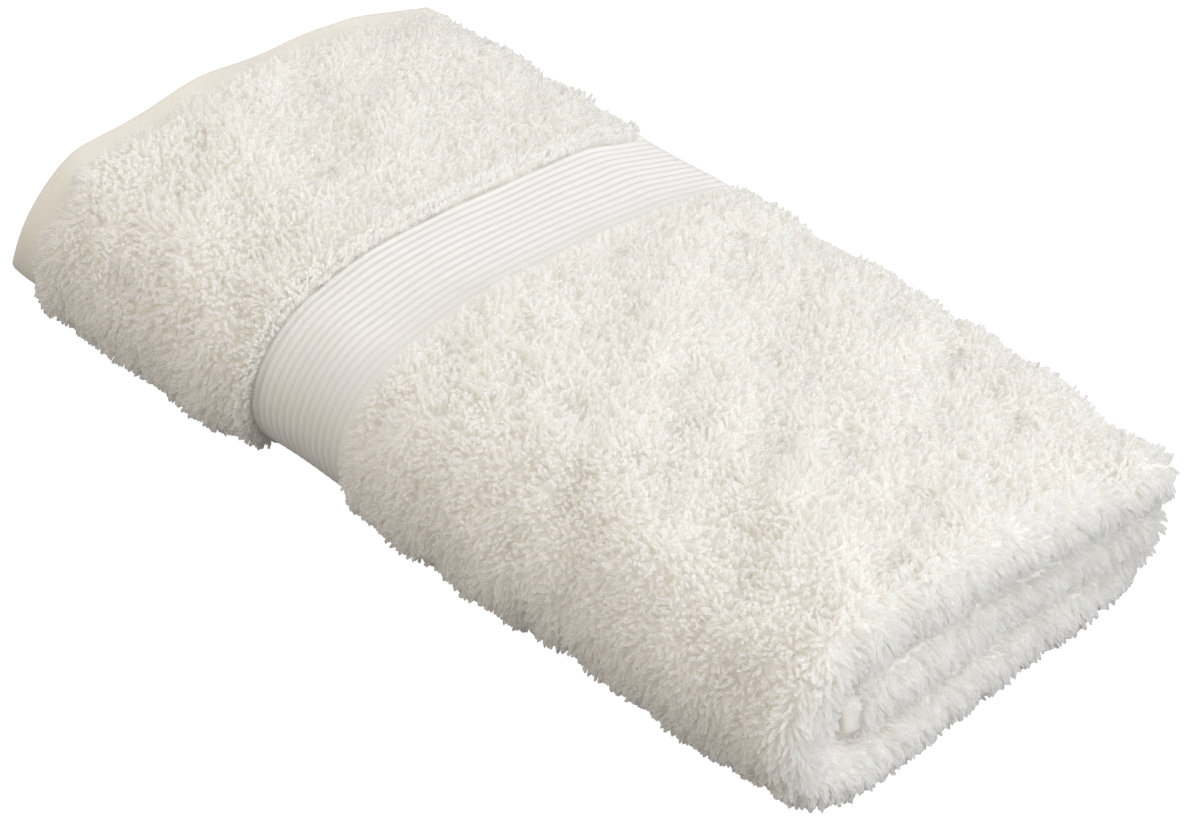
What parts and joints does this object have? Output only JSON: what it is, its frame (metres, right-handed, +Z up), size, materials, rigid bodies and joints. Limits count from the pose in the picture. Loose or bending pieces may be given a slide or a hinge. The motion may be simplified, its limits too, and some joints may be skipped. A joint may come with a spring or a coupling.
{
  "type": "folded hand towel",
  "caption": "Plush white terry hand towel with flat hems and ribbed woven borders, folded in half lengthwise and then in three across, lying flat.",
  "frame": {"origin": "On the surface that the towel lies on, under the middle of its box.", "axes": "+X runs from the two hems to the lengthwise fold at the near end, +Y from the rounded long front fold to the free selvage at the back, +Z up."},
  "size_m": [0.3578, 0.1901, 0.0692],
  "materials": {
    "terry_cotton": "matte looped cotton pile with flat-woven ribbed borders and hems"
  },
  "bodies": {
    "root": {"towel": "terry_cotton"}
  },
  "joints": []
}
